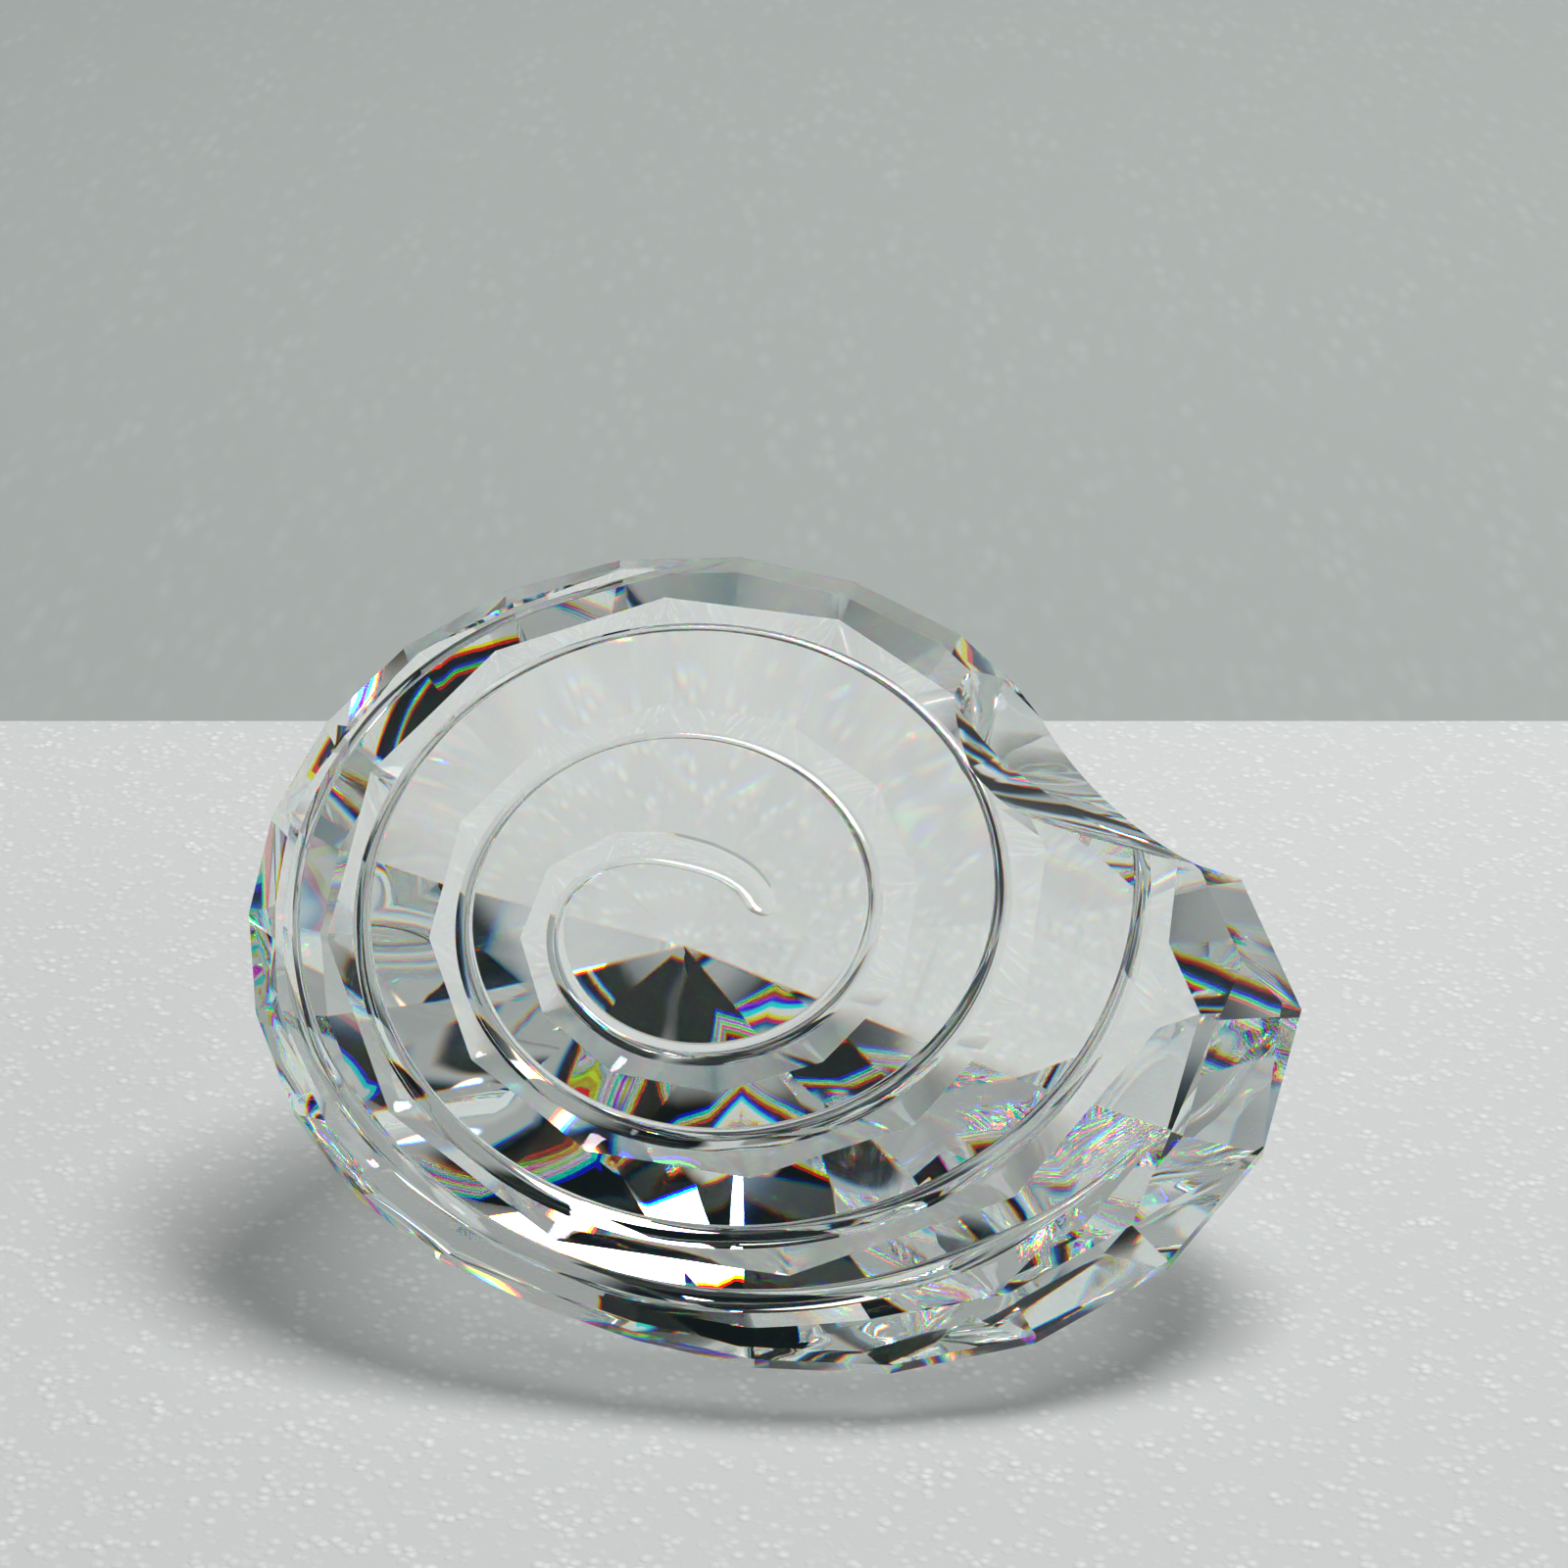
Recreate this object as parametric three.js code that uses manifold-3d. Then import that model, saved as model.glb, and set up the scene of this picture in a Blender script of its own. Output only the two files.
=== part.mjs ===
// Crystal shell: a snail shell ground and polished from one block of clear crystal.
// It lies back on a small flat facet, with its broad table leaning towards the viewer.
// The block is shaped in the frame of the cut: X to the right, Y up the table and Z out of
// the table, with the origin where the axis of the spiral meets the table. It is then tilted
// back and stood on its resting facet. Sizes are in millimetres and angles in degrees.

import * as THREE from "three";
import { mergeVertices } from "three/addons/utils/BufferGeometryUtils.js";
import Module from "manifold-3d";

// Stance
const TABLE_LEAN = 33;
const TABLE_HEIGHT = 22.5;

// Outline of the girdle: a round whorl that swells into a mouth on the right
const WHORL_RADIUS = 31.4;
const WHORL_RISE = 3.3;
const MOUTH_REACH = 13.2;
const MOUTH_HEADING = 348.6;
const MOUTH_RUN_IN = 106;
const MOUTH_RUN_OUT = 50.5;
const GIRDLE_CORNERS = 24;
const FIRST_CORNER = 9;

// Crown and girdle
const CROWN_INSET = 2.4;
const CROWN_DEPTH = 1.8;
const GIRDLE_BAND = 1.4;

// Pavilion: rows of facets that close on a point, each row set in from the girdle by so much
const PAVILION_POINT = [-0.7, 10.5];
const PAVILION_ROWS = [
  { inset: 4.7, drop: 7.8, corners: 24 },
  { inset: 12.6, drop: 8, corners: 12 },
  { inset: 23, drop: 7.4, corners: 12 },
];
const POINT_DROP = 6;

// Groove: a steep round wall on its inner side and a flat ramp on its outer side
const GROOVE_DEPTH = 1;
const WALL_WIDTH = 1.3;
const RAMP_WIDTH = 2.2;
const RAMP_SWELL = 0.6;
const RAMP_SWELL_HEADING = -40;
const RAMP_CORNERS = 12;
const STEPS_PER_CORNER = 4;
const WALL_STEPS = 4;

// Route of the groove in turns from +X, as the line where wall and ramp meet
const GROOVE_START = 0.02;
const SPIRAL_EXIT = 3.14;
const START_RADIUS = 6.2;
const SPIRAL_PITCH = 6.95;
const PITCH_GROWTH = 0.38;
const SPIRAL_CENTRE = [-0.73, 1.23];
const CENTRE_DRIFT = [1.17, 1.27];
const END_ROUNDING = 1.6;
const CHANNEL_TURNS = 0.45;
const CHANNEL_HALF_WIDTH = 1.1;
const START_TUCK = 2.2;
const TUCK_TURNS = 0.5;

// Last turn of the groove, which follows the rim and runs out below the mouth
const RIM_ENTRY = 0.14;
const RIM_SETTLED = 0.3;
const RIM_EXIT = 0.93;
const RIM_INSET = 2.6;
const RIM_OVERSHOOT = 3;
const SPREAD_START = 0.6;
const SPREAD_WIDTH = 8.4;
const RUN_OUT_TURNS = 0.07;

// Scoop beside the mouth, cut by a round-ended grinding wheel
const SCOOP_RADIUS = 9.2;
const SCOOP_END = [27.4, 19.2];
const SCOOP_LIFT = 2.9;
const SCOOP_HEADING = -18.5;
const SCOOP_DIVE = 14;
const SCOOP_LENGTH = 30;
const SCOOP_SIDES = 40;

// The cutters stand this far out of the table and past the block
const CLEARANCE = 1.2;

const GLASS = new THREE.MeshStandardMaterial({
  color: 0xeef3f1,
  roughness: 0.02,
  metalness: 0,
  transparent: true,
  opacity: 0.35,
});

const wasm = await Module();
wasm.setup();

const radians = (degrees) => THREE.MathUtils.degToRad(degrees);

// Distance from the axis of the spiral to the girdle: the ray to the whorl's circle, and a
// raised cosine on top of it for the mouth.
function girdleRadius(degrees) {
  const angle = radians(degrees);
  const whorl =
    WHORL_RISE * Math.sin(angle) +
    Math.sqrt(WHORL_RADIUS ** 2 - (WHORL_RISE * Math.cos(angle)) ** 2);
  const past = THREE.MathUtils.euclideanModulo(degrees - MOUTH_HEADING + 180, 360) - 180;
  const share = Math.min(past < 0 ? -past / MOUTH_RUN_IN : past / MOUTH_RUN_OUT, 1);
  return whorl + (MOUTH_REACH / 2) * (1 + Math.cos(Math.PI * share));
}

// Corners of the girdle seen along Z. With fewer corners than the girdle has, those between
// lie on the chord, so that every row has the same number of points.
function outline(corners) {
  const step = GIRDLE_CORNERS / corners;
  const corner = (index) => {
    const degrees = FIRST_CORNER + (360 / GIRDLE_CORNERS) * index;
    const angle = radians(degrees);
    const radius = girdleRadius(degrees);
    return new THREE.Vector2(radius * Math.cos(angle), radius * Math.sin(angle));
  };
  return Array.from({ length: GIRDLE_CORNERS }, (_, index) => {
    const before = Math.floor(index / step) * step;
    return corner(before).lerp(corner(before + step), (index - before) / step);
  });
}

// One row of corners: the outline drawn in towards a centre, at its own height.
function row(corners, centre, inset, height) {
  const hub = new THREE.Vector2(...centre);
  return outline(corners).map((point) => {
    const drawn = point.lerp(hub, inset / WHORL_RADIUS);
    return new THREE.Vector3(drawn.x, drawn.y, height);
  });
}

// A closed skin over rows of points, each row joined to the next, and capped at both ends by
// a fan to the point given or to the row's first point. Odd points open the quads the other
// way, so that a corner of one row meets the middle of a facet in the next.
function skin(rows, lastPoint) {
  const count = rows[0].length;
  const points = rows.flat();
  const faces = [];
  for (let i = 2; i < count; i++) faces.push(0, i - 1, i);
  for (let r = 0; r + 1 < rows.length; r++) {
    for (let i = 0; i < count; i++) {
      const j = (i + 1) % count;
      const [a, b, c, d] = [r * count + i, r * count + j, (r + 1) * count + j, (r + 1) * count + i];
      if (i % 2 === 0) faces.push(a, d, b, b, d, c);
      else faces.push(a, d, c, a, c, b);
    }
  }
  const last = (rows.length - 1) * count;
  if (lastPoint) {
    points.push(lastPoint);
    for (let i = 0; i < count; i++) faces.push(last + i, points.length - 1, last + ((i + 1) % count));
  } else {
    for (let i = 2; i < count; i++) faces.push(last, last + i, last + i - 1);
  }
  return new THREE.BufferGeometry().setFromPoints(points).setIndex(faces);
}

function solid(geometry) {
  const bare = geometry.clone();
  bare.deleteAttribute("normal");
  bare.deleteAttribute("uv");
  const merged = mergeVertices(bare, 1e-4);
  return new wasm.Manifold(
    new wasm.Mesh({
      numProp: 3,
      vertProperties: merged.attributes.position.array,
      triVerts: new Uint32Array(merged.index.array),
    }),
  );
}

// The faceted block before the groove: table, crown, girdle, pavilion and point.
function block() {
  const rows = [
    row(GIRDLE_CORNERS, [0, 0], CROWN_INSET, 0),
    row(GIRDLE_CORNERS, [0, 0], 0, -CROWN_DEPTH),
  ];
  let height = -CROWN_DEPTH - GIRDLE_BAND;
  rows.push(row(GIRDLE_CORNERS, PAVILION_POINT, 0, height));
  for (const { inset, drop, corners } of PAVILION_ROWS) {
    height -= drop;
    rows.push(row(corners, PAVILION_POINT, inset, height));
  }
  return solid(skin(rows, new THREE.Vector3(...PAVILION_POINT, height - POINT_DROP)));
}

// Line at the bottom of the spiral, by turns from +X: its centre drifts as its radius grows,
// and its first stretch is drawn in a little, so that the groove starts on a straighter tail.
function spiralPoint(turns) {
  const angle = turns * 2 * Math.PI;
  const tuck = START_TUCK * Math.sin(Math.PI * Math.min(turns / TUCK_TURNS, 1)) ** 2;
  const radius = START_RADIUS + SPIRAL_PITCH * turns + PITCH_GROWTH * turns ** 2 - tuck;
  return new THREE.Vector2(
    SPIRAL_CENTRE[0] + CENTRE_DRIFT[0] * turns + radius * Math.cos(angle),
    SPIRAL_CENTRE[1] + CENTRE_DRIFT[1] * turns + radius * Math.sin(angle),
  );
}

// The same line in the last turn: it comes in over the rim, keeps to the whorl and then
// spreads away from it below the mouth.
function rimPoint(turns) {
  const angle = turns * 2 * Math.PI;
  const whorl =
    WHORL_RISE * Math.sin(angle) +
    Math.sqrt(WHORL_RADIUS ** 2 - (WHORL_RISE * Math.cos(angle)) ** 2);
  const settled = THREE.MathUtils.smoothstep(turns, RIM_ENTRY, RIM_SETTLED);
  const spread = Math.max(turns - SPREAD_START, 0) / (RIM_EXIT - SPREAD_START);
  const radius =
    whorl +
    THREE.MathUtils.lerp(RIM_OVERSHOOT, -RIM_INSET, settled) +
    SPREAD_WIDTH * spread ** 1.6;
  return new THREE.Vector2(radius * Math.cos(angle), radius * Math.sin(angle));
}

// Section of the groove's cutter at one place on its line. Across the groove, outwards from
// the line, it goes from the foot of the ramp up to above the table and back down the wall.
// "channel" turns the ramp into a second wall, as at the start of the spiral.
function section(point, outward, rampWidth, channel, size) {
  const depth = GROOVE_DEPTH * size;
  const ramp = rampWidth * size;
  const wall = WALL_WIDTH * size;
  const top = CLEARANCE;
  const at = (across, height) =>
    new THREE.Vector3(point.x + outward.x * across, point.y + outward.y * across, height);
  const points = [];
  for (let i = 0; i <= WALL_STEPS; i++) {
    const turn = (Math.PI / 2) * (i / WALL_STEPS);
    points.push(at(-wall * Math.cos(turn), -depth * Math.sin(turn)));
  }
  for (let i = 1; i <= WALL_STEPS; i++) {
    const share = i / WALL_STEPS;
    const round = 1 - Math.sqrt(Math.max(1 - share ** 2, 0));
    points.push(at(ramp * share, -depth * (1 - THREE.MathUtils.lerp(share, round, channel))));
  }
  const flare = THREE.MathUtils.lerp((ramp / Math.max(depth, 1e-3)) * top, 0, channel);
  points.push(at(ramp + Math.min(flare, 2 * ramp), top));
  points.push(at(-wall, top));
  return points;
}

// The cutter of one stretch of groove. Its outer edge is ground straight between corners, so
// the ramp's width grows where the chord stands off from the curve.
function grooveCutter(line, from, to, shape) {
  const corner = 1 / RAMP_CORNERS;
  const phase = FIRST_CORNER / 360;
  const step = corner / STEPS_PER_CORNER;
  const places = [from];
  for (let t = phase + Math.ceil((from - phase) / step + 0.01) * step; t < to - step / 100; t += step) {
    places.push(t);
  }
  places.push(to);
  const heading = (turns) => {
    const along = line(turns + 1e-4).sub(line(turns - 1e-4)).normalize();
    return new THREE.Vector2(along.y, -along.x);
  };
  const edge = (turns) => {
    const swell = Math.cos(turns * 2 * Math.PI - radians(RAMP_SWELL_HEADING));
    return line(turns).addScaledVector(heading(turns), RAMP_WIDTH + RAMP_SWELL * swell);
  };
  const rows = places.map((turns) => {
    const before = phase + Math.floor((turns - phase) / corner + 1e-6) * corner;
    const chord = edge(before).lerp(edge(before + corner), (turns - before) / corner);
    const outward = heading(turns);
    const ramp = Math.max(chord.sub(line(turns)).dot(outward), 0.2);
    const { channel, size } = shape(turns);
    const width = THREE.MathUtils.lerp(ramp, CHANNEL_HALF_WIDTH, channel);
    return section(line(turns), outward, width, channel, size);
  });
  return solid(skin(rows, null));
}

// The spiral starts as a round-ended channel and becomes wall and ramp within half a turn.
function spiralCutter() {
  const rounding = END_ROUNDING / (2 * Math.PI * START_RADIUS);
  return grooveCutter(spiralPoint, GROOVE_START, SPIRAL_EXIT, (turns) => {
    const into = Math.min((turns - GROOVE_START) / rounding, 1);
    return {
      channel: 1 - THREE.MathUtils.smoothstep(turns, GROOVE_START, CHANNEL_TURNS),
      size: Math.max(Math.sqrt(1 - (1 - into) ** 2), 0.05),
    };
  });
}

function rimCutter() {
  return grooveCutter(rimPoint, RIM_ENTRY, RIM_EXIT, (turns) => ({
    channel: 0,
    size: Math.max(Math.min((RIM_EXIT - turns) / RUN_OUT_TURNS, 1), 0.05),
  }));
}

// The scoop's cutter: a capsule that enters from the right and dives as it goes outwards.
function scoopCutter() {
  const capsule = new THREE.CapsuleGeometry(SCOOP_RADIUS, SCOOP_LENGTH, SCOOP_SIDES / 4, SCOOP_SIDES);
  capsule.rotateZ(-Math.PI / 2);
  capsule.translate(SCOOP_LENGTH / 2, 0, 0);
  capsule.rotateY(radians(SCOOP_DIVE));
  capsule.rotateZ(radians(SCOOP_HEADING));
  capsule.translate(...SCOOP_END, SCOOP_LIFT);
  return solid(capsule);
}

// Everything below the resting facet, as a slab in the frame of the cut.
function floorCutter() {
  const size = 4 * (WHORL_RADIUS + MOUTH_REACH);
  const slab = new THREE.BoxGeometry(size, size, size);
  slab.translate(0, 0, -size / 2 - TABLE_HEIGHT);
  slab.rotateX(-radians(TABLE_LEAN));
  return solid(slab);
}

function shellGeometry() {
  const cut = block()
    .subtract(spiralCutter())
    .subtract(rimCutter())
    .subtract(scoopCutter())
    .subtract(floorCutter());
  const mesh = cut.getMesh();
  const geometry = new THREE.BufferGeometry();
  geometry.setAttribute("position", new THREE.BufferAttribute(mesh.vertProperties, 3));
  geometry.setIndex(new THREE.BufferAttribute(mesh.triVerts, 1));
  geometry.computeVertexNormals();
  return geometry;
}

const shell = new THREE.Mesh(shellGeometry(), GLASS);
shell.name = "crystal_shell";
shell.rotation.x = radians(TABLE_LEAN);
shell.position.z = TABLE_HEIGHT;

const figurine = new THREE.Group();
figurine.add(shell);

export default figurine;
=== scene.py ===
"""Crystal shell figurine: a snail shell ground and polished from one block of clear crystal.

The block is made again at full smoothness in the frame of the cut: X to the right, Y up the
table and Z out of it, with the origin where the axis of the spiral meets the table. Its scoop
is shallower than the solid's, and the lip of its mouth has a bevel. It is then leaned back on
its resting facet and replaces the faceted solid.
"""

import logging
import math
from dataclasses import dataclass
from enum import Enum

import bpy
import numpy as np
from mathutils import Matrix, Vector


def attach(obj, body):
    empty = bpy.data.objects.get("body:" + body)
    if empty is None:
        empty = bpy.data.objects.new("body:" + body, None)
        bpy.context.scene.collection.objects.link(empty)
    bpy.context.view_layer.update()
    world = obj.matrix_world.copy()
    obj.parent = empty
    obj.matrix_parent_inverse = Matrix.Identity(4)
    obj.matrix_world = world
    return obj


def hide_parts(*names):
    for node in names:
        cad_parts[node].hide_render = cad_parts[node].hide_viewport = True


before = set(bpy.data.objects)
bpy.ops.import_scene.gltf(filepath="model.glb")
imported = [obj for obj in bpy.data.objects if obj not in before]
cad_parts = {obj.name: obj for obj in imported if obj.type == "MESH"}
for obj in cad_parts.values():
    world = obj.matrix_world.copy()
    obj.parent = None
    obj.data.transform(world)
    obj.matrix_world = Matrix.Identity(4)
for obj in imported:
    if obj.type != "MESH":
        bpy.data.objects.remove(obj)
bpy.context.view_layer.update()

MM = 0.001
SHELL_NODE = "crystal_shell"

# Light paths that the facets need before a ray finds its way out of the block
MOST_BOUNCES = 24
MOST_REFLECTIONS = 16

# Keeps a division from zero and a whole number of corners from rounding down
TINY = 1e-6

# Size of the waste that a flat wheel takes off, well past the block on every side
WASTE_SIZE = 200.0 * MM

EVEN = (1.0, 1.0, 1.0)

log = logging.getLogger("crystal_shell")


class Finish(Enum):
    """How a surface of the block was left by its wheel."""

    FACET = 0
    WHEEL = 1


def smoothstep(value: np.ndarray, low: float, high: float) -> np.ndarray:
    """Rises from 0 at low to 1 at high with level ends."""
    share = np.clip((value - low) / (high - low), 0.0, 1.0)
    return share * share * (3.0 - 2.0 * share)


def skin_faces(rows: int, columns: int) -> list[tuple[int, int, int]]:
    """Triangles between rows of points, with every other quad opened the other way.

    Args:
        rows: Number of rows of points.
        columns: Number of points in a row, which closes on itself.

    Returns:
        Index triples that face outwards where the rows run counterclockwise downwards.
    """
    row, column = np.meshgrid(np.arange(rows - 1), np.arange(columns), indexing="ij")
    after = (column + 1) % columns
    a, b = row * columns + column, row * columns + after
    c, d = (row + 1) * columns + after, (row + 1) * columns + column
    even = (column % 2 == 0)[..., None]
    first = np.where(even, np.stack([a, d, b], -1), np.stack([a, d, c], -1))
    second = np.where(even, np.stack([b, d, c], -1), np.stack([a, c, b], -1))
    return np.concatenate([first.reshape(-1, 3), second.reshape(-1, 3)]).tolist()


def closed_mesh(name: str, grid: np.ndarray, point: np.ndarray | None = None) -> bpy.types.Mesh:
    """A closed mesh over a grid of points, capped by its first row and by a point or its last row.

    Args:
        name: Name of the mesh.
        grid: Points as rows by columns by three, in metres.
        point: Where the last row closes, or None for a flat cap.

    Returns:
        The mesh, with its faces outwards.
    """
    rows, columns, _ = grid.shape
    faces: list[tuple[int, ...]] = [tuple(range(columns)), *skin_faces(rows, columns)]
    points = grid.reshape(-1, 3)
    last = (rows - 1) * columns
    if point is None:
        faces.append(tuple(range(last + columns - 1, last - 1, -1)))
    else:
        points = np.vstack([points, point])
        tip = len(points) - 1
        faces += [(last + i, tip, last + (i + 1) % columns) for i in range(columns)]
    mesh = bpy.data.meshes.new(name)
    mesh.from_pydata(points.tolist(), [], faces)
    mesh.update()
    return mesh


@dataclass(frozen=True)
class Stance:
    """How the block stands: its table's slope, and the table's height over the resting facet."""

    lean: float = math.radians(33.0)
    height: float = 22.5 * MM

    def place(self, points: np.ndarray) -> np.ndarray:
        """Turns points about X by the lean and lifts them to their height.

        Args:
            points: Points in the frame of the cut.

        Returns:
            The points where the block stands.
        """
        cosine, sine = math.cos(self.lean), math.sin(self.lean)
        x, y, z = points[..., 0], points[..., 1], points[..., 2]
        return np.stack([x, y * cosine - z * sine, y * sine + z * cosine + self.height], -1)


@dataclass(frozen=True)
class Girdle:
    """The outline of the block: a round whorl that swells into a mouth on the right."""

    radius: float = 31.4 * MM
    rise: float = 3.3 * MM
    reach: float = 13.2 * MM
    heading: float = 348.6
    run_in: float = 106.0
    run_out: float = 50.5
    corners: int = 24
    first_corner: float = 9.0

    def whorl(self, degrees: np.ndarray) -> np.ndarray:
        """Length of the ray from the spiral's axis to the whorl's circle, whose centre is higher."""
        angle = np.radians(degrees)
        return self.rise * np.sin(angle) + np.sqrt(
            self.radius**2 - (self.rise * np.cos(angle)) ** 2
        )

    def distance(self, degrees: np.ndarray) -> np.ndarray:
        """The whorl's ray, and on top of it a raised cosine that stands out at the mouth.

        Args:
            degrees: Headings from +X.

        Returns:
            Length of the ray to the outline at each heading.
        """
        past = (degrees - self.heading + 180.0) % 360.0 - 180.0
        share = np.minimum(np.where(past < 0, -past / self.run_in, past / self.run_out), 1.0)
        return self.whorl(degrees) + self.reach / 2 * (1 + np.cos(np.pi * share))

    def outline(self, corners: int) -> np.ndarray:
        """Corners of the girdle in plan; the points between fewer corners lie on the chords.

        Args:
            corners: How many of the girdle's corners count.

        Returns:
            One point for each of the girdle's own corners.
        """
        step = self.corners // corners
        index = np.arange(self.corners)
        before = index // step * step
        share = ((index - before) / step)[:, None]
        return self._corner(before) * (1 - share) + self._corner(before + step) * share

    def _corner(self, index: np.ndarray) -> np.ndarray:
        """The outline's ray at equal steps of heading from the first corner.

        Args:
            index: Numbers of the corners.

        Returns:
            Their places in plan.
        """
        degrees = self.first_corner + 360.0 / self.corners * index
        angle = np.radians(degrees)
        return self.distance(degrees)[:, None] * np.stack([np.cos(angle), np.sin(angle)], -1)


@dataclass(frozen=True)
class FacetRow:
    """One row of the pavilion's facets, by the lower edge that closes it.

    The edge is the girdle's outline drawn in towards the pavilion's point by its inset.
    """

    inset: float
    drop: float
    corners: int


@dataclass(frozen=True)
class FacetedBlock:
    """The block before the groove: table, crown, girdle, and a pavilion that closes on a point."""

    girdle: Girdle = Girdle()
    crown_inset: float = 2.4 * MM
    crown_depth: float = 1.8 * MM
    girdle_band: float = 1.4 * MM
    axis: tuple[float, float] = (0.0, 0.0)
    point: tuple[float, float] = (-0.7 * MM, 10.5 * MM)
    rows: tuple[FacetRow, ...] = (
        FacetRow(inset=4.7 * MM, drop=7.8 * MM, corners=24),
        FacetRow(inset=12.6 * MM, drop=8.0 * MM, corners=12),
        FacetRow(inset=23.0 * MM, drop=7.4 * MM, corners=12),
    )
    point_drop: float = 6.0 * MM

    def mesh(self) -> bpy.types.Mesh:
        """Lays each row as the outline drawn in towards its centre, so that its facets are flat.

        Returns:
            The block's mesh in the frame of the cut.
        """
        corners, level = self.girdle.corners, -self.crown_depth
        rows = [
            self._row(corners, self.axis, self.crown_inset, 0.0),
            self._row(corners, self.axis, 0.0, level),
        ]
        level -= self.girdle_band
        rows.append(self._row(corners, self.axis, 0.0, level))
        for row in self.rows:
            level -= row.drop
            rows.append(self._row(row.corners, self.point, row.inset, level))
        tip = np.array([*self.point, level - self.point_drop])
        return closed_mesh("faceted_block", np.stack(rows), tip)

    def _row(
        self, corners: int, centre: tuple[float, float], inset: float, level: float
    ) -> np.ndarray:
        """The outline scaled about a centre by its inset, at one level.

        Args:
            corners: How many of the girdle's corners count.
            centre: What the outline is drawn in towards.
            inset: How far a point of the whorl's radius comes in.
            level: Height of the row.

        Returns:
            One point for each of the girdle's own corners.
        """
        hub = np.array(centre)
        plan = hub + (self.girdle.outline(corners) - hub) * (1 - inset / self.girdle.radius)
        return np.column_stack([plan, np.full(len(plan), level)])


@dataclass(frozen=True)
class GrooveSection:
    """Section of the groove: a steep round wall on the inside and a flat ramp on the outside."""

    depth: float = 1.0 * MM
    wall: float = 1.3 * MM
    ramp: float = 2.2 * MM
    ramp_swell: float = 0.6 * MM
    swell_heading: float = -40.0
    ramp_corners: int = 12
    steps: int = 12
    clearance: float = 1.2 * MM
    most_flare: float = 2.0

    def profile(self, width: np.ndarray, channel: np.ndarray, size: np.ndarray) -> np.ndarray:
        """Across and up, for every place along the groove.

        The wall is a quarter of an ellipse from the table down to the line at the bottom. The
        ramp rises straight from the line to its edge, or as a quarter circle where the groove
        is still a channel. Above the table the cutter goes on up, and flares as the ramp does.

        Args:
            width: The ramp's width at each place.
            channel: How far each place is a round channel, from 0 to 1.
            size: Share of the full section at each place.

        Returns:
            Places by points by two.
        """
        turn = np.linspace(0.0, np.pi / 2, self.steps + 1)[None, :]
        share = np.linspace(0.0, 1.0, self.steps + 1)[None, 1:]
        width, channel, size = width[:, None], channel[:, None], size[:, None]
        run, depth = width * size, self.depth * size
        wall_x, wall_z = -self.wall * size * np.cos(turn), -depth * np.sin(turn)
        curl = 1 - np.sqrt(np.maximum(1 - share**2, 0.0))
        ramp_x = run * share
        ramp_z = -depth * (1 - (share * (1 - channel) + curl * channel))
        flare = np.minimum(run / np.maximum(depth, TINY) * self.clearance, self.most_flare * run)
        above_x = np.hstack([run + flare * (1 - channel), -self.wall * size])
        above_z = np.full_like(above_x, self.clearance)
        across = np.hstack([wall_x, ramp_x, above_x])
        return np.stack([across, np.hstack([wall_z, ramp_z, above_z])], -1)


@dataclass(frozen=True)
class Groove:
    """A stretch of groove, by the line at its bottom in turns from +X.

    Its ends keep a share of a step clear of the next place, and its direction is taken over a
    small nudge of a turn to each side.
    """

    section: GrooveSection = GrooveSection()
    girdle: Girdle = Girdle()
    start: float = 0.0
    end: float = 1.0
    steps_per_corner: int = 24
    end_gap: float = 0.01
    nudge: float = 1e-4
    least_ramp: float = 0.2 * MM
    least_size: float = 0.05

    def line(self, turns: np.ndarray) -> np.ndarray:
        """Places of the line at the bottom of the groove."""
        raise NotImplementedError

    def channel(self, turns: np.ndarray) -> np.ndarray:
        """How far the groove is a round channel."""
        return np.zeros_like(turns)

    def size(self, turns: np.ndarray) -> np.ndarray:
        """Share of the full section."""
        return np.ones_like(turns)

    def channel_width(self) -> float:
        """Half the width of the channel."""
        return self.section.wall

    def outward(self, turns: np.ndarray) -> np.ndarray:
        """The line's direction turned a quarter clockwise, away from the spiral's axis.

        Args:
            turns: Places along the groove.

        Returns:
            Unit vectors across the groove.
        """
        along = self.line(turns + self.nudge) - self.line(turns - self.nudge)
        along /= np.linalg.norm(along, axis=-1, keepdims=True)
        return np.stack([along[:, 1], -along[:, 0]], -1)

    def edge(self, turns: np.ndarray) -> np.ndarray:
        """The line moved outwards by the ramp's width, which swells as a cosine of the heading.

        Args:
            turns: Places along the groove.

        Returns:
            Places of the ramp's outer edge.
        """
        swell = np.cos(2 * np.pi * turns - math.radians(self.section.swell_heading))
        width = self.section.ramp + self.section.ramp_swell * swell
        return self.line(turns) + self.outward(turns) * width[:, None]

    def mesh(self, name: str) -> bpy.types.Mesh:
        """Carries the section along the line; the ramp's edge runs straight between corners.

        Args:
            name: Name of the mesh.

        Returns:
            The wheel's path as a closed mesh in the frame of the cut.
        """
        corner, phase = 1 / self.section.ramp_corners, self.girdle.first_corner / 360
        step = corner / self.steps_per_corner
        first = math.ceil((self.start - phase) / step + self.end_gap)
        last = math.floor((self.end - phase) / step - self.end_gap)
        turns = np.array([self.start, *(phase + np.arange(first, last + 1) * step), self.end])
        before = phase + np.floor((turns - phase) / corner + TINY) * corner
        share = ((turns - before) / corner)[:, None]
        chord = self.edge(before) * (1 - share) + self.edge(before + corner) * share
        line, outward, channel = self.line(turns), self.outward(turns), self.channel(turns)
        width = np.maximum(np.sum((chord - line) * outward, -1), self.least_ramp)
        width = width * (1 - channel) + self.channel_width() * channel
        profile = self.section.profile(width, channel, self.size(turns))
        plan = line[:, None, :] + outward[:, None, :] * profile[..., :1]
        return closed_mesh(name, np.concatenate([plan, profile[..., 1:]], -1))


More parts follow.
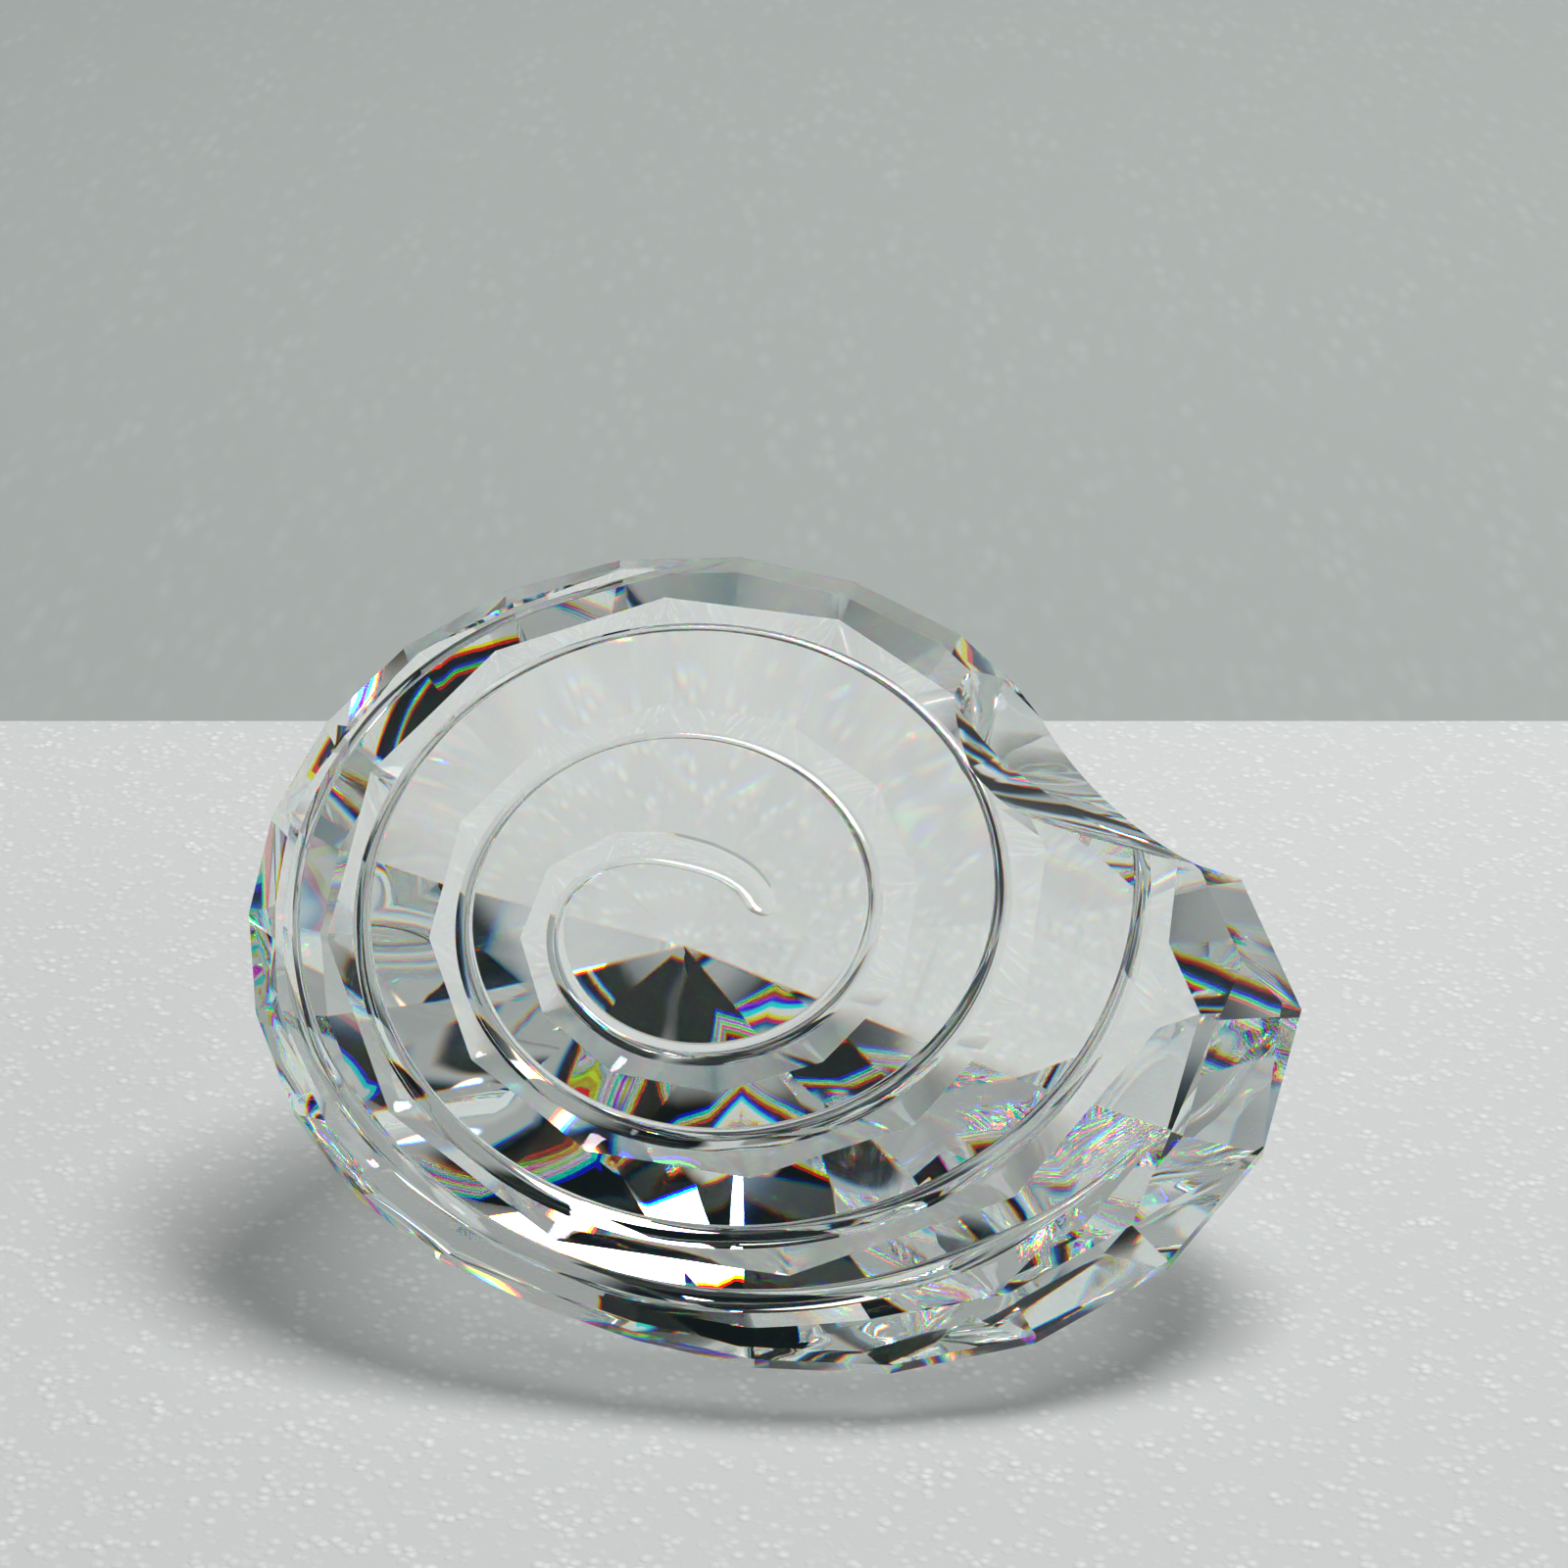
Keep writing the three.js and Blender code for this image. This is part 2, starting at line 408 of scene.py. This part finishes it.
@dataclass(frozen=True)
class SpiralGroove(Groove):
    """The spiral itself: an Archimedean line whose centre drifts, from its tail to the notch."""

    start: float = 0.02
    end: float = 3.14
    start_radius: float = 6.2 * MM
    pitch: float = 6.95 * MM
    growth: float = 0.38 * MM
    centre: tuple[float, float] = (-0.73 * MM, 1.23 * MM)
    drift: tuple[float, float] = (1.17 * MM, 1.27 * MM)
    tuck: float = 2.2 * MM
    tuck_turns: float = 0.5
    channel_turns: float = 0.45
    half_width: float = 1.1 * MM
    rounding: float = 1.6 * MM

    def line(self, turns: np.ndarray) -> np.ndarray:
        """The radius grows by the pitch and a little more each turn, less a tuck at the tail.

        Args:
            turns: Places along the groove.

        Returns:
            Places of the line at the bottom of the groove.
        """
        angle = 2 * np.pi * turns
        tuck = self.tuck * np.sin(np.pi * np.minimum(turns / self.tuck_turns, 1.0)) ** 2
        radius = self.start_radius + self.pitch * turns + self.growth * turns**2 - tuck
        centre = np.array(self.centre) + np.array(self.drift) * turns[:, None]
        return centre + radius[:, None] * np.stack([np.cos(angle), np.sin(angle)], -1)

    def channel(self, turns: np.ndarray) -> np.ndarray:
        """A channel at the tail, and wall and ramp within half a turn."""
        return 1 - smoothstep(turns, self.start, self.channel_turns)

    def channel_width(self) -> float:
        """Half the width of the channel."""
        return self.half_width

    def size(self, turns: np.ndarray) -> np.ndarray:
        """The tail's end is a quarter circle seen from above."""
        into = np.minimum((turns - self.start) * 2 * np.pi * self.start_radius / self.rounding, 1.0)
        return np.maximum(np.sqrt(1 - (1 - into) ** 2), self.least_size)


@dataclass(frozen=True)
class RimGroove(Groove):
    """The last turn, which comes in over the rim, keeps to the whorl and spreads at the end."""

    start: float = 0.14
    end: float = 0.93
    settled: float = 0.3
    inset: float = 2.6 * MM
    overshoot: float = 3.0 * MM
    spread_start: float = 0.6
    spread: float = 8.4 * MM
    spread_power: float = 1.6
    run_out: float = 0.07

    def line(self, turns: np.ndarray) -> np.ndarray:
        """The whorl's ray, less an inset that settles after the entry, plus the spread.

        Args:
            turns: Places along the groove.

        Returns:
            Places of the line at the bottom of the groove.
        """
        entry = smoothstep(turns, self.start, self.settled)
        past = np.maximum(turns - self.spread_start, 0.0) / (self.end - self.spread_start)
        radius = self.girdle.whorl(360.0 * turns) + self.spread * past**self.spread_power
        radius += self.overshoot * (1 - entry) - self.inset * entry
        angle = 2 * np.pi * turns
        return radius[:, None] * np.stack([np.cos(angle), np.sin(angle)], -1)

    def size(self, turns: np.ndarray) -> np.ndarray:
        """The cutter lifts out over the last stretch."""
        return np.clip((self.end - turns) / self.run_out, self.least_size, 1.0)


@dataclass(frozen=True)
class Scoop:
    """The hollow beside the mouth, left by a round-ended wheel that dives as it goes outwards."""

    radius: float = 11.0 * MM
    end: tuple[float, float] = (27.0 * MM, 18.0 * MM)
    lift: float = 7.5 * MM
    heading: float = -8.0
    dive: float = 17.0
    length: float = 30.0 * MM
    sides: int = 144

    def mesh(self) -> bpy.types.Mesh:
        """A circle carried along an axis, with its radius following a half circle at each end.

        Returns:
            The capsule in the frame of the cut.
        """
        swing = np.radians(np.linspace(0.0, 90.0, self.sides // 4 + 1))
        near, far = swing[1:], swing[1:-1]
        along = np.concatenate([-self.radius * np.cos(near), self.length + self.radius * np.sin(far)])
        across = np.concatenate([self.radius * np.sin(near), self.radius * np.cos(far)])
        along, across = along[:, None], across[:, None]
        angle = np.linspace(0.0, 2 * np.pi, self.sides, endpoint=False)
        ring = np.broadcast_arrays(along, across * np.cos(angle), -across * np.sin(angle))
        tip = np.array([self.length + self.radius, 0.0, 0.0])
        return closed_mesh("scoop_wheel", self._aim(np.stack(ring, -1)), self._aim(tip))

    def _aim(self, points: np.ndarray) -> np.ndarray:
        """Tips points down about Y by the dive, turns them to the heading and moves them in place.

        Args:
            points: Points of a wheel that lies along +X.

        Returns:
            The points in the frame of the cut.
        """
        dive, heading = math.radians(self.dive), math.radians(self.heading)
        x, y, z = points[..., 0], points[..., 1], points[..., 2]
        level = x * math.cos(dive) + z * math.sin(dive)
        height = z * math.cos(dive) - x * math.sin(dive)
        east = level * math.cos(heading) - y * math.sin(heading)
        north = level * math.sin(heading) + y * math.cos(heading)
        return np.stack([east + self.end[0], north + self.end[1], height + self.lift], -1)


def waste_mesh(name: str, height: float, hangs: bool) -> bpy.types.Mesh:
    """A wide level block that stands on a level, or hangs from it.

    Args:
        name: Name of the mesh.
        height: The level of its lower face, or of its upper face if it hangs.
        hangs: Whether it lies below the level.

    Returns:
        The mesh.
    """
    plan = WASTE_SIZE * np.array([[-1.0, -1.0], [1.0, -1.0], [1.0, 1.0], [-1.0, 1.0]])
    levels = (height, height - WASTE_SIZE) if hangs else (height + WASTE_SIZE, height)
    rows = [np.column_stack([plan, np.full(len(plan), level)]) for level in levels]
    return closed_mesh(name, np.stack(rows))


@dataclass(frozen=True)
class LipBevel:
    """The bevel that flattens the lip of the mouth, by the straight edge where it leaves the table."""

    distance: float = 36.8 * MM
    heading: float = -23.4
    slope: float = 16.0

    def mesh(self) -> bpy.types.Mesh:
        """Everything above a plane that dips outwards: a level block tipped about Y and turned.

        Returns:
            The mesh in the frame of the cut.
        """
        mesh = waste_mesh("lip_wheel", 0.0, hangs=False)
        tip = Matrix.Rotation(math.radians(self.slope), 4, "Y")
        turn = Matrix.Rotation(math.radians(self.heading), 4, "Z")
        mesh.transform(turn @ Matrix.Translation((self.distance, 0.0, 0.0)) @ tip)
        return mesh


def polish_group() -> bpy.types.NodeTree:
    """A group for what polishing leaves: faint long streaks over a slow waviness.

    Returns:
        The group, with Scale, Streaks and Stretch going in and Height coming out.
    """
    group = bpy.data.node_groups.new("polish", "ShaderNodeTree")
    sockets = group.interface
    sockets.new_socket("Height", in_out="OUTPUT", socket_type="NodeSocketFloat")
    for name in ("Scale", "Streaks"):
        sockets.new_socket(name, in_out="INPUT", socket_type="NodeSocketFloat")
    sockets.new_socket("Stretch", in_out="INPUT", socket_type="NodeSocketVector")
    nodes, links = group.nodes, group.links
    given, result = nodes.new("NodeGroupInput"), nodes.new("NodeGroupOutput")
    place = nodes.new("ShaderNodeTexCoord")
    drawn = nodes.new("ShaderNodeVectorMath")
    drawn.operation = "MULTIPLY"
    streak = nodes.new("ShaderNodeTexNoise")
    wave = nodes.new("ShaderNodeTexNoise")
    wave.inputs["Detail"].default_value = 0.0
    blend = nodes.new("ShaderNodeMix")
    links.new(place.outputs["Object"], drawn.inputs[0])
    links.new(given.outputs["Stretch"], drawn.inputs[1])
    links.new(drawn.outputs["Vector"], streak.inputs["Vector"])
    links.new(place.outputs["Object"], wave.inputs["Vector"])
    links.new(given.outputs["Scale"], streak.inputs["Scale"])
    links.new(given.outputs["Scale"], wave.inputs["Scale"])
    links.new(given.outputs["Streaks"], blend.inputs["Factor"])
    links.new(wave.outputs["Fac"], blend.inputs["A"])
    links.new(streak.outputs["Fac"], blend.inputs["B"])
    links.new(blend.outputs["Result"], result.inputs["Height"])
    return group


@dataclass(frozen=True)
class CrystalFinish:
    """Polished lead crystal: clear, and dense enough to part white light into colours.

    Light that enters is parted into red, green and blue, each with its own refraction. Inside
    the block all three keep to the same path rules, so the colours only part once. Waves are
    counted by the metre, and on a facet the streaks run along X.
    """

    tint: tuple[float, float, float] = (0.990, 1.0, 0.995)
    refraction: float = 1.55
    parting: float = 0.016
    polish: float = 0.02
    polish_depth: float = 0.02 * MM
    waves: float = 60.0
    streaks: float = 0.3
    facet_stretch: tuple[float, float, float] = (1.0, 9.0, 9.0)

    def material(self, finish: Finish, group: bpy.types.NodeTree) -> bpy.types.Material:
        """Glass for one kind of surface.

        Args:
            finish: Which wheel left the surface.
            group: What polishing leaves.

        Returns:
            The material.
        """
        material = bpy.data.materials.new(f"crystal_{finish.name.lower()}")
        material.use_nodes = True
        nodes, links = material.node_tree.nodes, material.node_tree.links
        nodes.remove(nodes["Principled BSDF"])
        polish = nodes.new("ShaderNodeGroup")
        polish.node_tree = group
        polish.inputs["Scale"].default_value = self.waves
        polish.inputs["Streaks"].default_value = self.streaks
        stretch = self.facet_stretch if finish is Finish.FACET else EVEN
        polish.inputs["Stretch"].default_value = stretch
        bump = nodes.new("ShaderNodeBump")
        bump.inputs["Strength"].default_value = self.polish
        bump.inputs["Distance"].default_value = self.polish_depth
        links.new(polish.outputs["Height"], bump.inputs["Height"])
        red, green, blue = self.tint
        shares = (
            ((red, 0.0, 0.0), self.refraction - self.parting),
            ((0.0, green, 0.0), self.refraction),
            ((0.0, 0.0, blue), self.refraction + self.parting),
        )
        entering = None
        for colour, index in shares:
            part = self._glass(material.node_tree, bump, colour, index)
            if entering is None:
                entering = part.outputs["BSDF"]
                continue
            both = nodes.new("ShaderNodeAddShader")
            links.new(entering, both.inputs[0])
            links.new(part.outputs["BSDF"], both.inputs[1])
            entering = both.outputs["Shader"]
        within = self._glass(material.node_tree, bump, self.tint, self.refraction)
        side = nodes.new("ShaderNodeNewGeometry")
        choice = nodes.new("ShaderNodeMixShader")
        links.new(side.outputs["Backfacing"], choice.inputs["Fac"])
        links.new(entering, choice.inputs[1])
        links.new(within.outputs["BSDF"], choice.inputs[2])
        links.new(choice.outputs["Shader"], nodes["Material Output"].inputs["Surface"])
        return material

    def _glass(
        self,
        tree: bpy.types.NodeTree,
        bump: bpy.types.Node,
        colour: tuple[float, float, float],
        index: float,
    ) -> bpy.types.Node:
        """One clear glass shader.

        Args:
            tree: The material's nodes.
            bump: What polishing does to the surface's normal.
            colour: The light that it lets through.
            index: Its refraction.

        Returns:
            The shader's node.
        """
        glass = tree.nodes.new("ShaderNodeBsdfGlass")
        glass.inputs["Color"].default_value = (*colour, 1.0)
        glass.inputs["IOR"].default_value = index
        glass.inputs["Roughness"].default_value = 0.0
        tree.links.new(bump.outputs["Normal"], glass.inputs["Normal"])
        return glass


@dataclass(frozen=True)
class CrystalShell:
    """The figurine: the faceted block with its groove, scoop and resting facet cut."""

    stance: Stance = Stance()
    block: FacetedBlock = FacetedBlock()
    spiral: SpiralGroove = SpiralGroove()
    rim: RimGroove = RimGroove()
    scoop: Scoop = Scoop()
    lip: LipBevel = LipBevel()
    finish: CrystalFinish = CrystalFinish()
    crease: float = 10.0

    def build(self) -> bpy.types.Object:
        """Cuts the block and stands it on its facet.

        Returns:
            The finished piece, at the origin.
        """
        polish = polish_group()
        materials = [self.finish.material(kind, polish) for kind in Finish]
        body = self._tool(self.block.mesh(), materials, Finish.FACET)
        tools = [
            self._tool(self.spiral.mesh("spiral_wheel"), materials, Finish.WHEEL),
            self._tool(self.rim.mesh("rim_wheel"), materials, Finish.WHEEL),
            self._tool(self.scoop.mesh(), materials, Finish.WHEEL),
            self._tool(self.lip.mesh(), materials, Finish.FACET),
            self._tool(self._floor(), materials, Finish.FACET),
        ]
        for tool in tools:
            cut = body.modifiers.new(tool.name, "BOOLEAN")
            cut.operation, cut.solver, cut.object = "DIFFERENCE", "MANIFOLD", tool
        finished = body.evaluated_get(bpy.context.evaluated_depsgraph_get())
        mesh = bpy.data.meshes.new_from_object(finished)
        for used in (body, *tools):
            bpy.data.objects.remove(used)
        self._stand(mesh)
        self._shade(mesh)
        shell = bpy.data.objects.new("crystal_shell_cut", mesh)
        bpy.context.scene.collection.objects.link(shell)
        return shell

    def _tool(
        self, mesh: bpy.types.Mesh, materials: list[bpy.types.Material], finish: Finish
    ) -> bpy.types.Object:
        """An object for one solid, with every face in one of the finishes.

        Args:
            mesh: The solid's mesh.
            materials: The finishes' materials, in their order.
            finish: The finish of every face.

        Returns:
            The object, linked to the scene.
        """
        for material in materials:
            mesh.materials.append(material)
        mesh.polygons.foreach_set("material_index", np.full(len(mesh.polygons), finish.value))
        tool = bpy.data.objects.new(mesh.name, mesh)
        bpy.context.scene.collection.objects.link(tool)
        return tool

    def _floor(self) -> bpy.types.Mesh:
        """Everything below the resting facet: a deep block whose top is level once the shell leans.

        Returns:
            The mesh in the frame of the cut.
        """
        mesh = waste_mesh("floor_lap", -self.stance.height, hangs=True)
        mesh.transform(Matrix.Rotation(-self.stance.lean, 4, "X"))
        return mesh

    def _stand(self, mesh: bpy.types.Mesh) -> None:
        """Moves the mesh's own points to where the block stands.

        Args:
            mesh: The cut block, in the frame of the cut.
        """
        points = np.empty(len(mesh.vertices) * 3)
        mesh.vertices.foreach_get("co", points)
        mesh.vertices.foreach_set("co", self.stance.place(points.reshape(-1, 3)).ravel())
        mesh.update()

    def _shade(self, mesh: bpy.types.Mesh) -> None:
        """Facets stay flat; wheel cuts are smooth up to their creases and to the facets.

        Args:
            mesh: The cut block.
        """
        kinds = np.empty(len(mesh.polygons), dtype=np.int32)
        mesh.polygons.foreach_get("material_index", kinds)
        mesh.polygons.foreach_set("use_smooth", kinds == Finish.WHEEL.value)
        mesh.set_sharp_from_angle(angle=math.radians(self.crease))
        mesh.update()


# Tones that the facets mirror: what is unlit, what is pale and what is bright
DARK_ROOM = (0.006, 0.010, 0.011)
PALE_WALL = (0.58, 0.60, 0.595)
WINDOW = (2.2, 2.25, 2.3)


@dataclass(frozen=True)
class SkyZone:
    """A soft-edged round patch of the surroundings, with its angles in degrees.

    Its heading counts from +X, and its elevation from the level.
    """

    heading: float
    elevation: float
    radius: float
    edge: float
    colour: tuple[float, float, float]

    def direction(self) -> tuple[float, float, float]:
        """Turns the heading and the elevation into a direction.

        Returns:
            Unit vector towards the middle of the patch.
        """
        heading, elevation = math.radians(self.heading), math.radians(self.elevation)
        level = math.cos(elevation)
        return level * math.cos(heading), level * math.sin(heading), math.sin(elevation)

    def limits(self) -> tuple[float, float]:
        """Cosines of the angles at which the patch starts and is whole."""
        whole = max(self.radius - self.edge / 2, 0.0)
        return math.cos(math.radians(self.radius + self.edge / 2)), math.cos(math.radians(whole))


@dataclass(frozen=True)
class SoftBox:
    """A rectangular soft light that points at the figurine."""

    name: str
    place: tuple[float, float, float]
    size: tuple[float, float]
    power: float
    target: tuple[float, float, float] = (0.0, 0.0, 15.0 * MM)

    def build(self) -> None:
        """Hangs the light."""
        data = bpy.data.lights.new(self.name, "AREA")
        data.shape, data.size, data.size_y, data.energy = "RECTANGLE", *self.size, self.power
        lamp = bpy.data.objects.new(self.name, data)
        lamp.location = self.place
        aim = Vector(self.target) - Vector(self.place)
        lamp.rotation_euler = aim.to_track_quat("-Z", "Y").to_euler()
        bpy.context.scene.collection.objects.link(lamp)


# Distance from a cell's middle at which its speck starts and is whole
SPECK_FADE = (0.50, 0.05)

# Level of the patches at which specks start and are all there
PATCH_FADE = (0.36, 0.66)
PATCH_DETAIL = 3.0


def speckle_group() -> bpy.types.NodeTree:
    """A group for fine bright specks, denser in some patches than in others: painted glints on the
    foam, a grain on the table.

    Returns:
        The group, with Cell and Patch, both counts a metre, and Stretch going in and Amount
        coming out.
    """
    group = bpy.data.node_groups.new("speckle", "ShaderNodeTree")
    sockets = group.interface
    sockets.new_socket("Amount", in_out="OUTPUT", socket_type="NodeSocketFloat")
    for name in ("Cell", "Patch"):
        sockets.new_socket(name, in_out="INPUT", socket_type="NodeSocketFloat")
    sockets.new_socket("Stretch", in_out="INPUT", socket_type="NodeSocketVector")
    nodes, links = group.nodes, group.links
    given, result = nodes.new("NodeGroupInput"), nodes.new("NodeGroupOutput")
    place = nodes.new("ShaderNodeTexCoord")
    drawn = nodes.new("ShaderNodeVectorMath")
    drawn.operation = "MULTIPLY"
    cells = nodes.new("ShaderNodeTexVoronoi")
    patch = nodes.new("ShaderNodeTexNoise")
    patch.inputs["Detail"].default_value = PATCH_DETAIL
    bright, some = nodes.new("ShaderNodeMapRange"), nodes.new("ShaderNodeMapRange")
    for fade, (low, high) in ((bright, SPECK_FADE), (some, PATCH_FADE)):
        fade.inputs["From Min"].default_value = low
        fade.inputs["From Max"].default_value = high
    both = nodes.new("ShaderNodeMath")
    both.operation = "MULTIPLY"
    links.new(place.outputs["Object"], drawn.inputs[0])
    links.new(given.outputs["Stretch"], drawn.inputs[1])
    for texture, count in ((cells, "Cell"), (patch, "Patch")):
        links.new(drawn.outputs["Vector"], texture.inputs["Vector"])
        links.new(given.outputs[count], texture.inputs["Scale"])
    links.new(cells.outputs["Distance"], bright.inputs["Value"])
    links.new(patch.outputs["Fac"], some.inputs["Value"])
    links.new(bright.outputs["Result"], both.inputs[0])
    links.new(some.outputs["Result"], both.inputs[1])
    links.new(both.outputs["Value"], result.inputs["Amount"])
    return group


@dataclass(frozen=True)
class SpeckledFinish:
    """A matt sheet with fine specks of a lighter colour painted over it, each with a little relief."""

    name: str
    colour: tuple[float, float, float]
    speck: tuple[float, float, float]
    speck_size: float
    patch_size: float
    relief: float
    stretch: tuple[float, float, float] = EVEN
    roughness: float = 0.8

    def material(self, group: bpy.types.NodeTree) -> bpy.types.Material:
        """The sheet's colour with specks over it.

        Args:
            group: The specks.

        Returns:
            The material.
        """
        material = bpy.data.materials.new(self.name)
        material.use_nodes = True
        nodes, links = material.node_tree.nodes, material.node_tree.links
        shader = nodes["Principled BSDF"]
        shader.inputs["Roughness"].default_value = self.roughness
        specks = nodes.new("ShaderNodeGroup")
        specks.node_tree = group
        specks.inputs["Cell"].default_value = 1 / self.speck_size
        specks.inputs["Patch"].default_value = 1 / self.patch_size
        specks.inputs["Stretch"].default_value = self.stretch
        bump = nodes.new("ShaderNodeBump")
        bump.inputs["Strength"].default_value = 1.0
        bump.inputs["Distance"].default_value = self.relief
        links.new(specks.outputs["Amount"], bump.inputs["Height"])
        links.new(bump.outputs["Normal"], shader.inputs["Normal"])
        mix = nodes.new("ShaderNodeMix")
        mix.data_type = "RGBA"
        mix.inputs["A"].default_value = (*self.colour, 1.0)
        mix.inputs["B"].default_value = (*self.speck, 1.0)
        links.new(specks.outputs["Amount"], mix.inputs["Factor"])
        links.new(mix.outputs["Result"], shader.inputs["Base Color"])
        return material


# The foam's white specks are painted glints: a lighter colour where its cells would catch the light.
FOAM = SpeckledFinish(
    name="foam_white",
    colour=(0.755, 0.770, 0.760),
    speck=(1.0, 1.0, 1.0),
    speck_size=1.0 * MM,
    patch_size=2.6 * MM,
    relief=0.12 * MM,
)
GREY_TABLE = SpeckledFinish(
    name="table_grey",
    colour=(0.432, 0.466, 0.447),
    speck=(0.485, 0.520, 0.500),
    speck_size=2.2 * MM,
    patch_size=9.0 * MM,
    relief=0.02 * MM,
    stretch=(1.0, 0.3, 1.0),
)


@dataclass(frozen=True)
class Studio:
    """Foam floor, the grey table behind it, soft light and the camera."""

    foam_front: float = -600.0 * MM
    foam_edge: float = 88.6 * MM
    foam_thickness: float = 8.0 * MM
    air_film: float = 0.05 * MM
    table_thickness: float = 20.0 * MM
    reach: float = 3000.0 * MM
    camera_place: tuple[float, float, float] = (6.94 * MM, -246.9 * MM, 149.88 * MM)
    camera_fall: float = 25.0
    lens: float = 90.0
    sensor: float = 36.0
    nearest: float = 10.0 * MM
    farthest: float = 10_000.0 * MM
    ground: tuple[float, float, float] = (0.35, 0.365, 0.36)
    backdrop: tuple[float, float, float] = (0.40, 0.43, 0.415)
    zones: tuple[SkyZone, ...] = (
        SkyZone(0.0, 25.0, 24.0, 8.0, (0.46, 0.48, 0.47)),
        SkyZone(180.0, 22.0, 22.0, 8.0, (0.40, 0.42, 0.415)),
        SkyZone(108.0, 47.0, 27.0, 5.0, DARK_ROOM),
        SkyZone(262.0, 33.0, 33.0, 6.0, DARK_ROOM),
        SkyZone(270.0, 88.0, 18.0, 6.0, DARK_ROOM),
        SkyZone(166.0, 60.0, 7.0, 4.0, DARK_ROOM),
        SkyZone(214.0, 71.0, 7.0, 4.0, DARK_ROOM),
        SkyZone(197.0, 42.0, 12.0, 4.0, DARK_ROOM),
        SkyZone(162.0, 23.0, 8.0, 4.0, DARK_ROOM),
        SkyZone(319.0, 63.0, 8.0, 4.0, DARK_ROOM),
        SkyZone(251.0, 55.0, 6.0, 2.0, PALE_WALL),
        SkyZone(227.0, 13.0, 6.0, 2.0, PALE_WALL),
        SkyZone(40.0, 42.0, 7.0, 2.0, PALE_WALL),
        SkyZone(105.0, 16.0, 6.0, 2.0, PALE_WALL),
        SkyZone(330.0, 36.0, 5.0, 2.0, WINDOW),
        SkyZone(286.0, 64.0, 4.0, 2.0, WINDOW),
        SkyZone(118.0, 58.0, 3.0, 1.0, WINDOW),
    )
    lights: tuple[SoftBox, ...] = (
        SoftBox("softbox_top", place=(0.22, 0.38, 0.85), size=(0.45, 0.36), power=6.3),
    )

    def build(self) -> None:
        """Makes the stage, the light and the camera."""
        self._camera()
        self._sky()
        underside = -self.foam_thickness
        foam = self._slab("foam_sheet", self.foam_front, self.foam_edge, underside, -self.air_film)
        specks = speckle_group()
        foam.data.materials.append(FOAM.material(specks))
        low = underside - self.table_thickness
        table = self._slab("table_top", -self.reach, self.reach, low, underside)
        table.data.materials.append(GREY_TABLE.material(specks))
        for slab in (foam, table):
            log.info("%s: stage", slab.name)
        for light in self.lights:
            light.build()
            log.info("%s: light", light.name)

    def _camera(self) -> None:
        """A long lens that looks down along +Y."""
        data = bpy.data.cameras.new("camera")
        data.lens, data.sensor_width = self.lens, self.sensor
        data.clip_start, data.clip_end = self.nearest, self.farthest
        camera = bpy.data.objects.new("camera", data)
        camera.location = self.camera_place
        camera.rotation_euler = (math.radians(90.0 - self.camera_fall), 0.0, 0.0)
        bpy.context.scene.collection.objects.link(camera)
        bpy.context.scene.camera = camera

    def _slab(self, name: str, near: float, far: float, low: float, high: float) -> bpy.types.Object:
        """A wide slab between two distances and two heights.

        Args:
            name: Name of the slab.
            near: Where it starts along Y.
            far: Where it ends along Y.
            low: Height of its underside.
            high: Height of its top.

        Returns:
            The slab, linked to the scene.
        """
        side = self.reach
        plan = np.array([[-side, near], [side, near], [side, far], [-side, far]])
        rows = [np.column_stack([plan, np.full(len(plan), level)]) for level in (high, low)]
        slab = bpy.data.objects.new(name, closed_mesh(name, np.stack(rows)))
        bpy.context.scene.collection.objects.link(slab)
        return slab

    def _sky(self) -> None:
        """Light from all round: an even level with each zone laid over it in turn.

        Where the surroundings themselves are in the picture, they are a plain pale backdrop.
        """
        world = bpy.data.worlds.new("studio")
        bpy.context.scene.world = world
        world.use_nodes = True
        nodes, links = world.node_tree.nodes, world.node_tree.links
        way = nodes.new("ShaderNodeTexCoord")
        colour = nodes.new("ShaderNodeRGB").outputs[0]
        colour.default_value = (*self.ground, 1.0)
        for zone in self.zones:
            starts, whole = zone.limits()
            dot = nodes.new("ShaderNodeVectorMath")
            dot.operation = "DOT_PRODUCT"
            dot.inputs[1].default_value = zone.direction()
            inside = nodes.new("ShaderNodeMapRange")
            inside.interpolation_type = "SMOOTHSTEP"
            inside.inputs["From Min"].default_value = starts
            inside.inputs["From Max"].default_value = whole
            mix = nodes.new("ShaderNodeMix")
            mix.data_type = "RGBA"
            mix.inputs["B"].default_value = (*zone.colour, 1.0)
            links.new(way.outputs["Generated"], dot.inputs[0])
            links.new(dot.outputs["Value"], inside.inputs["Value"])
            links.new(inside.outputs["Result"], mix.inputs["Factor"])
            links.new(colour, mix.inputs["A"])
            colour = mix.outputs["Result"]
        rays = nodes.new("ShaderNodeLightPath")
        seen = nodes.new("ShaderNodeMix")
        seen.data_type = "RGBA"
        seen.inputs["B"].default_value = (*self.backdrop, 1.0)
        links.new(rays.outputs["Is Camera Ray"], seen.inputs["Factor"])
        links.new(colour, seen.inputs["A"])
        links.new(seen.outputs["Result"], nodes["Background"].inputs["Color"])
        nodes["Background"].inputs["Strength"].default_value = 1.0


def main() -> None:
    """Builds the studio and the shell, and reports each piece."""
    logging.basicConfig(level=logging.INFO, format="%(name)s: %(message)s")
    scene = bpy.context.scene
    scene.view_settings.view_transform = "Standard"
    scene.cycles.max_bounces = MOST_BOUNCES
    scene.cycles.glossy_bounces = MOST_REFLECTIONS
    scene.cycles.transmission_bounces = MOST_BOUNCES
    Studio().build()
    shell = CrystalShell().build()
    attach(shell, "root")
    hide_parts(SHELL_NODE)
    log.info("%s: %d faces", shell.name, len(shell.data.polygons))


if __name__ == "__main__":
    main()
